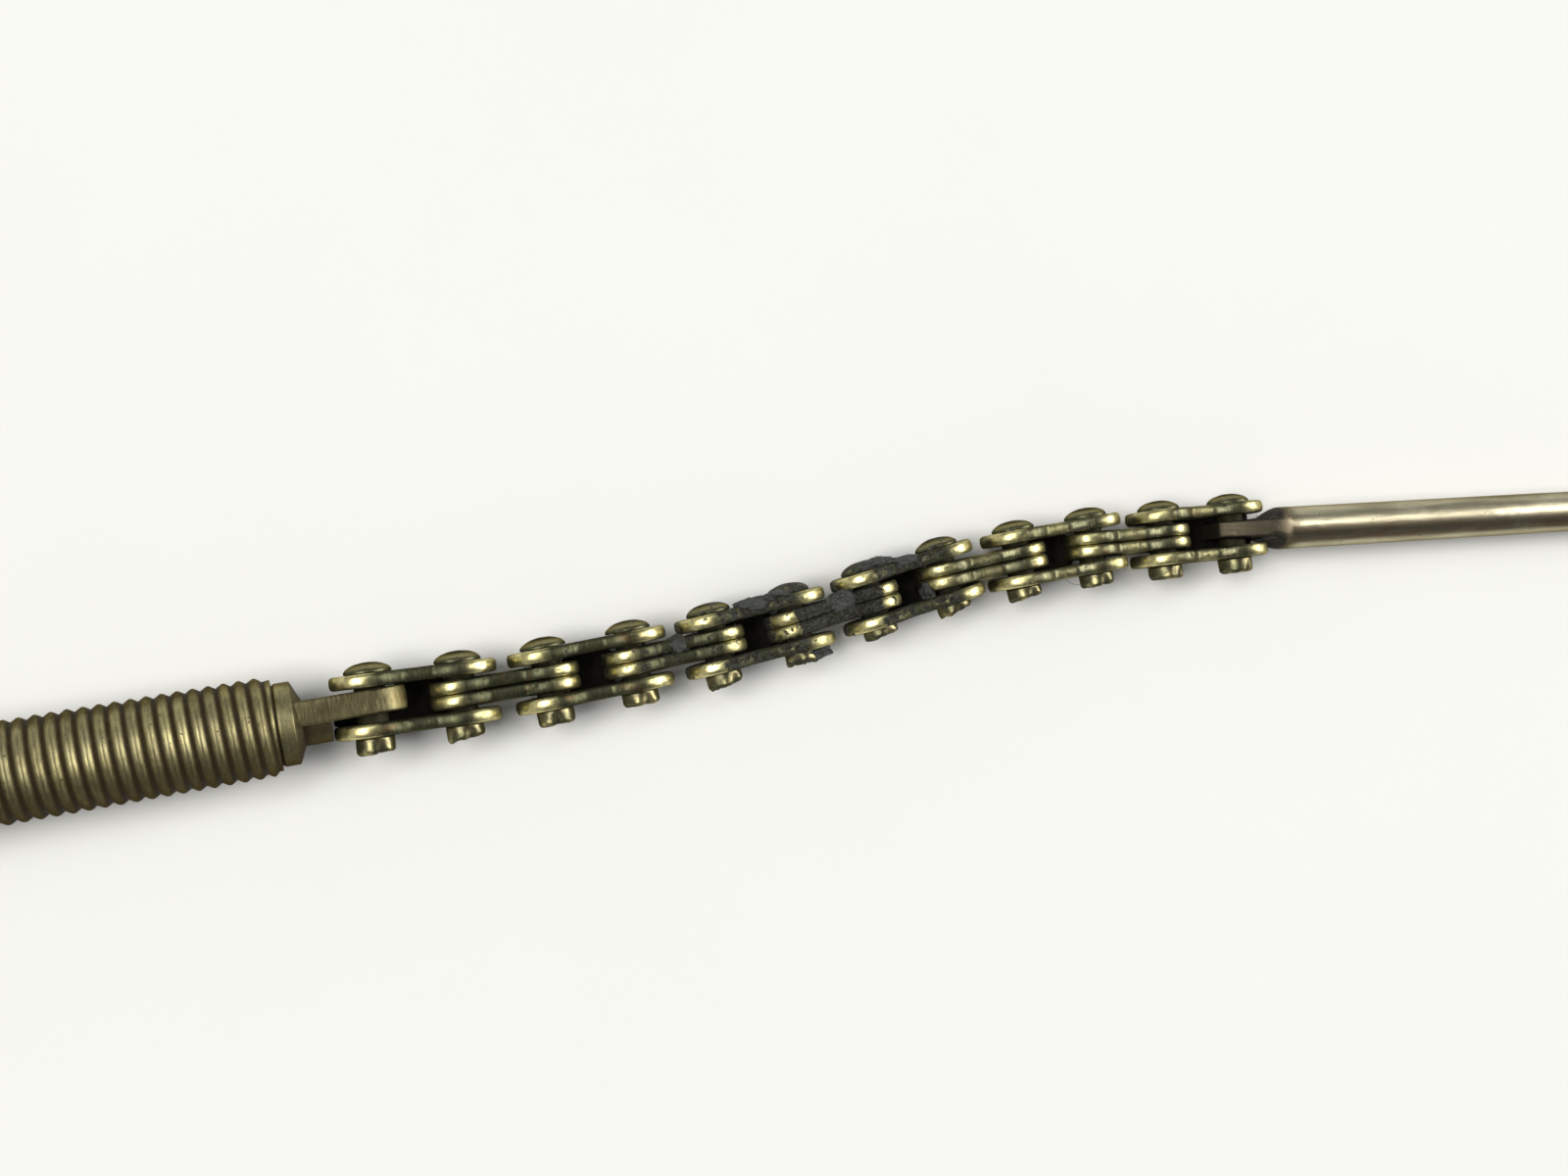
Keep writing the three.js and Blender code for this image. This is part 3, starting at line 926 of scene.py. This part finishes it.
class CHAIN_OT_plates(Operator):
    """Add the twelve outer and ten inner plates"""

    bl_idname = "indicator_chain.add_plates"
    bl_label = "Plates"

    def execute(self, context):
        sizes = in_mm(context.scene.chain_plates)
        for link in range(1, LINK_COUNT + 1):
            kind = "outer" if link % 2 else "inner"
            parts = ("end", "waist", "thickness", "spacing")
            end, waist, thickness, spacing = (getattr(sizes, f"{kind}_{part}") for part in parts)
            outline = plate_outline(end, waist, sizes.arc_steps)
            for side in (HEAD_SIDE, STUB_SIDE):
                face_y = spacing / 2 if side == HEAD_SIDE else -spacing / 2 - thickness
                seed = link * 2 + (side == HEAD_SIDE)
                shape = (outline, (0.0, PITCH), sizes.hole, thickness, face_y)
                points, faces, on_edge = slab_mesh(*shape, seed, sizes.edge_round, sizes.relief)
                node = plate_name(link, side)
                painted = plate_paint(points, on_edge, end, link, seed)
                plate = new_piece(f"{node}_worn", points, faces, painted, sharp=60)
                place(plate, FRAMES[link], "plate_metal", [node])
        return {"FINISHED"}


# --- Rivets ----------------------------------------------------------------------------


def rivet_profile(sizes, stack_half, stub_length):
    """Radius and height of the rivet, from the middle of its stub to the top of its dome,
    with the part that each step belongs to."""
    shank, head, dome, stub, play = sizes.shank, sizes.head, sizes.head_height, sizes.stub, sizes.play
    rounding = 0.17
    foot = -stack_half - play
    end = foot - stub_length
    profile = [(stub * share, end, "end") for share in (0.12, 0.3, 0.5, 0.68)]
    for angle in np.radians(np.linspace(0, 90, 7)):
        radius = stub - rounding * (1 - math.sin(angle))
        profile.append((radius, end + rounding * (1 - math.cos(angle)), "end"))
    profile += [(stub, y, "stub") for y in np.linspace(end + 0.2, foot - 0.04, 10)]
    profile += [(stub - 0.02, foot - 0.01, "foot"), (stub - 0.06, foot, "foot"), (shank, foot, "shank")]
    profile += [(shank, y, "shank") for y in np.linspace(foot + 0.05, stack_half, 12)]
    base = stack_half + play
    rim = base + 0.02
    profile += [(shank, base, "shank"), (head - 0.08, base, "head"), (head - 0.02, rim, "head")]
    for angle in np.linspace(math.asin(0.2), math.pi / 2, 16)[:-1]:
        rise = (base + dome - rim) * math.sin(angle) ** 1.1
        profile.append((head * math.cos(angle) ** 0.92, rim + rise, "head"))
    profile.append((head * 0.05, base + dome, "head"))
    return profile, foot, end


def rivet_mesh(number, sizes, stack_half):
    """Points and faces of a rivet with its staked end, the part that each point belongs to,
    its share of the cleft, and how far down the stub it is."""
    stub = STUBS[number - 1]
    profile, foot, end = rivet_profile(sizes, stack_half, sizes.stub_length * stub.length)
    angle = np.linspace(0, 2 * math.pi, sizes.sides, endpoint=False)
    rings, parts = [], []
    for radius, y, part in profile:
        rings.append(np.stack([radius * np.sin(angle), np.full(sizes.sides, y), radius * np.cos(angle)], 1))
        parts += [part] * sizes.sides
    points, faces = loft(rings)
    parts += ["end", "head"]
    around = np.arctan2(points[:, 0], points[:, 2])
    down = smoothstep(foot, end, points[:, 1]) * (points[:, 1] < foot + 1e-6)

    # The tool that spread the end left a cleft between two lumps, here and behind.
    lump_turn, back_cleft_turn = 0.6, 2.4
    away = np.abs((around - math.radians(stub.cleft) + math.pi) % (2 * math.pi) - math.pi)
    cleft = np.exp(-((away / 0.22) ** 2)) + 0.7 * np.exp(-(((away - back_cleft_turn) / 0.3) ** 2))
    lumps = np.exp(-(((away - lump_turn) / 0.3) ** 2))
    squeeze = 1 - down * (0.13 * cleft - 0.03 * lumps)
    squeeze += down * 0.05 * fractal(points, 2.1, number + 60, 2)
    points[:, 0] *= squeeze
    points[:, 2] *= squeeze
    slope = stub.slant * points[:, 0]
    rough = stub.ragged * fractal(points * np.array([1, 0.2, 1]), 2.6, number + 80, 3)
    points[:, 1] -= down * (slope + rough - 0.05 * cleft)

    bump = 0.02 * fractal(points, 1.5, number + 20, 2)
    points[:, 1] += np.where(points[:, 1] > stack_half + 0.05, bump, 0)
    return points, faces, parts, cleft * down, down


def rivet_paint(points, parts, cleft, down, number):
    """Painted shade in the grease colour on the shank under the head, at the stub's foot and in the cleft;
    painted shade on the dome and the stub; grime as on the links, wear on the stub.
    """
    kinds = ("head", "shank", "foot")
    head, shank, foot = (np.array([part == kind for part in parts], float) for kind in kinds)
    level = max(LINK_GRIME[i] for i in (number - 2, number - 1) if 0 <= i < LINK_COUNT)
    radius = np.hypot(points[:, 0], points[:, 2])
    rim = smoothstep(0.55, 0.8, radius) * (1 - smoothstep(0.9, 0.97, radius)) * head
    spread = smoothstep(0.0, 0.5, fractal(points, 1.6, number + 33, 3))
    return {
        "wear": np.clip(0.05 * head + 0.22 * rim + down * (0.1 + 0.5 * spread), 0, 1),
        # Painted shade on the dome, less towards its rim, and on the stub.
        "deep": 0.8 * head * (1 - 0.6 * rim) + down * 0.65 * (1 - 0.8 * spread),
        "grime": np.clip(level * (0.75 * head + 0.55 * down + 0.5 * shank) + 0.1 * spread, 0, 1),
        # Painted shade in the grease colour in the cleft, at the stub's foot and on the shank between the
        # plates.
        "groove": np.clip(0.95 * cleft + 0.75 * foot + 0.9 * shank, 0, 1),
        "rust": down * (0.95 if number == 8 else 0.3) * spread,
    }


class CHAIN_OT_rivets(Operator):
    """Add the twelve rivets with their staked ends"""

    bl_idname = "indicator_chain.add_rivets"
    bl_label = "Rivets"

    def execute(self, context):
        sizes = in_mm(context.scene.chain_rivets)
        plates = in_mm(context.scene.chain_plates)
        stack_half = plates.outer_spacing / 2 + plates.outer_thickness
        for number in range(1, LINK_COUNT + 2):
            link = number if number % 2 else number - 1
            points, faces, *paint = rivet_mesh(number, sizes, stack_half)
            painted = rivet_paint(points, *paint, number)
            rivet = new_piece(f"rivet_{number}_staked", points, faces, painted, sharp=55)
            matrix = FRAMES[link].copy()
            matrix.translation = PINS[number]
            place(rivet, matrix, "rivet_metal", [f"rivet_{number}"])
        return {"FINISHED"}


# --- Grime -----------------------------------------------------------------------------

# Lumps of grease and lint: the link they lie on, their middle in that link's frame and
# their half sizes, in millimetres
LUMPS = {
    "grime_saddle": (5, (1.9, 1.2, 0.75), (0.95, 0.32, 0.4)),
    "grime_saddle_right": (5, (2.9, 1.32, 0.75), (0.62, 0.24, 0.5)),
    "grime_fourth_link": (4, (1.9, 0.3, 0.62), (0.5, 0.42, 0.34)),
    "grime_sixth_link": (6, (2.1, 0.3, 0.7), (0.7, 0.5, 0.3)),
    "grime_seventh_head": (7, (0.5, 1.45, 0.45), (0.85, 0.28, 0.62)),
    "grime_seventh_saddle": (7, (1.75, 1.18, 0.8), (0.75, 0.24, 0.34)),
    "grime_eighth_joint": (7, (2.45, -0.55, 0.5), (0.3, 0.5, 0.4)),
    "grime_sixth_stub": (5, (4.2, -1.5, 0.3), (0.7, 0.28, 0.55)),
}

# Black grease packed low between the plates of the outer links, which also stands in as painted shade in
# the voids
# there: the link, where the grease starts and ends along it, and across it, in millimetres
WEBS = (
    (1, (0.9, 3.3), (-0.75, 0.75)),
    (1, (-1.4, 1.4), (-0.75, -0.22)),
    (3, (0.7, 2.95), (-0.75, 0.75)),
    (5, (0.7, 2.95), (-0.75, 0.75)),
    (7, (0.7, 2.95), (-0.75, 0.75)),
    (9, (0.7, 2.95), (-0.75, 0.75)),
    (11, (0.7, 2.7), (-0.75, 0.75)),
    (11, (2.3, 5.0), (-0.75, -0.4)),
    (11, (2.3, 5.0), (0.4, 0.75)),
)
WEB_TOP = -0.45
WEB_BOTTOM = -0.95

# Hairs and lint fibres: points in a link's frame, in millimetres
FIBRES = (
    (9, ((1.7, -1.2, 0.8), (2.0, -1.5, 0.7), (2.5, -1.66, 0.5), (3.0, -1.6, 0.5), (3.3, -1.3, 0.7))),
    (11, ((3.9, -0.5, 1.35), (4.1, -0.2, 1.5), (4.2, 0.2, 1.5), (4.3, 0.6, 1.3))),
    (5, ((0.4, -0.4, 1.4), (0.6, 0.0, 1.5), (0.55, 0.4, 1.5), (0.7, 0.62, 1.4))),
)


def lump(name, centre, half, seed):
    """A soft uneven lump with a fuzzy rim."""
    work = bmesh.new()
    bmesh.ops.create_icosphere(work, subdivisions=5, radius=1.0)
    directions, faces = body_points(work)
    swell = 1 + 0.3 * fractal(directions, 1.5, seed, 3) + 0.09 * fractal(directions, 6.0, seed + 4, 3)
    points = directions * swell[:, None] * np.array(half) + np.array(centre)
    return new_piece(name, points, faces, {"grime": np.ones(len(points))})


def packed_shade_grease(name, centre, half, seed):
    """Grease that fills the space between two plates, with an uneven skin, and darkens the void there as
    painted shade.
    """
    work = bmesh.new()
    bmesh.ops.create_cube(work, size=2.0)
    bmesh.ops.subdivide_edges(work, edges=work.edges, cuts=24, use_grid_fill=True)
    box, faces = body_points(work)
    lengths = np.sum(np.abs(box) ** 6, axis=1) ** (1 / 6)
    points = box / lengths[:, None] * np.array(half) + np.array(centre)
    uneven = fractal(points, 1.6, seed, 3)
    points[:, 2] += 0.12 * uneven * smoothstep(-0.2, 0.6, box[:, 2])
    points[:, 0] += 0.08 * fractal(points, 1.9, seed + 7, 2) * np.sign(box[:, 0]) * np.abs(box[:, 0]) ** 4
    return new_piece(name, points, faces, {})


def smooth_path(knots, steps=40):
    """A smooth line through a few points."""
    knots = np.array(knots, float)
    padded = np.concatenate([[2 * knots[0] - knots[1]], knots, [2 * knots[-1] - knots[-2]]])
    line = []
    for i in range(1, len(padded) - 2):
        p0, p1, p2, p3 = padded[i - 1 : i + 3]
        for t in np.linspace(0, 1, steps // (len(knots) - 1), endpoint=False):
            a, b = 2 * p1, (p2 - p0) * t
            c = (2 * p0 - 5 * p1 + 4 * p2 - p3) * t * t
            d = (3 * p1 - p0 - 3 * p2 + p3) * t**3
            line.append((a + b + c + d) / 2)
    line.append(knots[-1])
    return np.array(line)


def fibre_rings(line, radius, sides=8):
    tangent = np.gradient(line, axis=0)
    tangent /= np.linalg.norm(tangent, axis=1)[:, None]
    first = np.cross(tangent, [0.3, 0.2, 1.0])
    first /= np.linalg.norm(first, axis=1)[:, None]
    second = np.cross(tangent, first)
    angle = np.linspace(0, 2 * math.pi, sides, endpoint=False)
    return [
        point + radius * (np.cos(angle)[:, None] * u + np.sin(angle)[:, None] * v)
        for point, u, v in zip(line, first, second)
    ]


class CHAIN_OT_grime(Operator):
    """Add the lumps of grease and lint, the black grease that also stands in as painted shade between the
    plates, and a few loose fibres
    """

    bl_idname = "indicator_chain.add_grime"
    bl_label = "Grime"

    def execute(self, context):
        for seed, (name, (link, centre, half)) in enumerate(LUMPS.items(), start=1):
            place(lump(name, centre, half, seed), FRAMES[link], "grime_matt")
        for number, (link, along, across) in enumerate(WEBS, start=1):
            spans = (along, across, (WEB_BOTTOM, WEB_TOP))
            centre = [(low + high) / 2 for low, high in spans]
            half = [(high - low) / 2 for low, high in spans]
            web = packed_shade_grease(f"grease_web_{number}", centre, half, number + 39)
            place(web, FRAMES[link], "grease_black")
        all_points, all_faces = [], []
        for link, knots in FIBRES:
            points, faces = loft(fibre_rings(smooth_path(knots), 0.011))
            all_faces += [tuple(i + len(all_points) for i in face) for face in faces]
            all_points += [FRAMES[link] @ Vector(p * MM) / MM for p in points]
        fibres = new_piece("lint_fibres", all_points, all_faces, {})
        place(fibres, Matrix.Identity(4), "grime_matt")
        return {"FINISHED"}


# --- Stage -----------------------------------------------------------------------------


def area_light(name, direction, distance, size, brightness, tint):
    """A soft box that shines on the origin from a direction, with an even brightness."""
    light = bpy.data.lights.new(name, "AREA")
    light.shape = "RECTANGLE"
    light.size, light.size_y = size
    light.energy = brightness * math.pi * size[0] * size[1]
    light.color = tint
    holder = bpy.data.objects.new(name, light)
    towards = Vector(direction).normalized()
    holder.location = towards * distance
    holder.rotation_euler = towards.to_track_quat("Z", "Y").to_euler()
    bpy.context.scene.collection.objects.link(holder)


WARM = (1.0, 0.985, 0.94)
COOL = (0.95, 1.0, 1.0)

# Direction, distance and size in metres, brightness and tint of each soft box
LIGHTS = {
    "key_left": ((-0.62, 0.1, 0.8), 1.6, (1.0, 0.8), 7.5, WARM),
    "key_right": ((1.0, 0.1, 0.5), 1.6, (1.0, 0.8), 7.5, WARM),
    "top_right": ((0.62, 0.12, 0.86), 1.6, (0.5, 0.36), 7.5, WARM),
    "top_back": ((-0.1, 0.5, 1.0), 1.7, (0.6, 0.4), 3.0, COOL),
}


class CHAIN_OT_stage(Operator):
    """Add the camera, the lights and the pale floor"""

    bl_idname = "indicator_chain.add_stage"
    bl_label = "Stage"

    def execute(self, context):
        stage = context.scene.chain_stage
        scene = context.scene
        azimuth, elevation, roll = stage.azimuth, stage.elevation, stage.roll
        sight = Vector(
            (
                math.sin(azimuth) * math.cos(elevation),
                math.cos(azimuth) * math.cos(elevation),
                -math.sin(elevation),
            )
        )
        level = Vector((math.cos(azimuth), -math.sin(azimuth), 0))
        upright = level.cross(sight)
        right = level * math.cos(roll) + upright * math.sin(roll)
        up = right.cross(sight)
        # The middle of the view lies just beside the sixth rivet.
        target = PINS[6] + Vector((-0.22, 1.56, 0)) * MM
        matrix = Matrix((right, up, -sight)).transposed().to_4x4()
        matrix.translation = target - sight * stage.distance
        camera = bpy.data.cameras.new("camera")
        camera.lens = stage.lens
        camera.sensor_width = 36
        camera.clip_start = 0.002
        camera.clip_end = 20
        holder = bpy.data.objects.new("camera", camera)
        holder.matrix_world = matrix
        scene.collection.objects.link(holder)
        scene.camera = holder

        for name, values in LIGHTS.items():
            area_light(name, *values)
        world = bpy.data.worlds.new("surround")
        world.use_nodes = True
        nodes, links = world.node_tree.nodes, world.node_tree.links
        background = nodes["Background"]
        background.inputs["Color"].default_value = (0.97, 0.99, 1.0, 1.0)
        direction = nodes.new("ShaderNodeTexCoord")
        split = nodes.new("ShaderNodeSeparateXYZ")
        fade = nodes.new("ShaderNodeMapRange")
        fade.interpolation_type = "SMOOTHSTEP"
        fade.inputs["From Min"].default_value = 0.24
        fade.inputs["From Max"].default_value = 0.5
        fade.inputs["To Min"].default_value = stage.horizon
        fade.inputs["To Max"].default_value = stage.surround
        links.new(direction.outputs["Generated"], split.inputs["Vector"])
        links.new(split.outputs["Z"], fade.inputs["Value"])
        links.new(fade.outputs["Result"], background.inputs["Strength"])
        scene.world = world
        scene.view_settings.view_transform = "Standard"

        desk = NodeDesk("floor_paint")
        grain = desk.noise(desk.stretched(0.05, 0.05, 0.05), 1.0, 3)
        darker = [0.97 * c for c in stage.floor]
        paint = desk.finished({"Base Color": desk.mix(grain, darker, stage.floor), "Roughness": 0.9})
        half = 3000.0
        corners = [(-half, -half, 0), (half, -half, 0), (half, half, 0), (-half, half, 0)]
        floor = new_piece("floor", corners, [(0, 1, 2, 3)], {})
        floor.data.materials.append(paint)
        return {"FINISHED"}


# --- Panel and registration ------------------------------------------------------------


class CHAIN_PT_parts(Panel):
    """Buttons for the parts of the chain"""

    bl_label = "Indicator chain"
    bl_idname = "CHAIN_PT_parts"
    bl_space_type = "VIEW_3D"
    bl_region_type = "UI"
    bl_category = "Indicator Chain"

    def draw(self, context):
        column = self.layout.column()
        for operator in OPERATORS:
            column.operator(operator.bl_idname)


OPERATORS = (
    CHAIN_OT_stage,
    CHAIN_OT_stud,
    CHAIN_OT_plates,
    CHAIN_OT_rivets,
    CHAIN_OT_rod,
    CHAIN_OT_grime,
)
SETTINGS = {
    "chain_plates": PlateSizes,
    "chain_rivets": RivetSizes,
    "chain_stud": StudSizes,
    "chain_rod": RodSizes,
    "chain_finishes": Finishes,
    "chain_stage": StageSettings,
}
CLASSES = (*SETTINGS.values(), *OPERATORS, CHAIN_PT_parts)


def register():
    for cls in CLASSES:
        bpy.utils.register_class(cls)
    for name, group in SETTINGS.items():
        setattr(bpy.types.Scene, name, PointerProperty(type=group))


def unregister():
    for name in SETTINGS:
        delattr(bpy.types.Scene, name)
    for cls in reversed(CLASSES):
        bpy.utils.unregister_class(cls)


def main():
    register()
    bpy.ops.indicator_chain.add_stage()
    bpy.ops.indicator_chain.add_stud()
    bpy.ops.indicator_chain.add_plates()
    bpy.ops.indicator_chain.add_rivets()
    bpy.ops.indicator_chain.add_rod()
    bpy.ops.indicator_chain.add_grime()


if __name__ == "__main__":
    main()
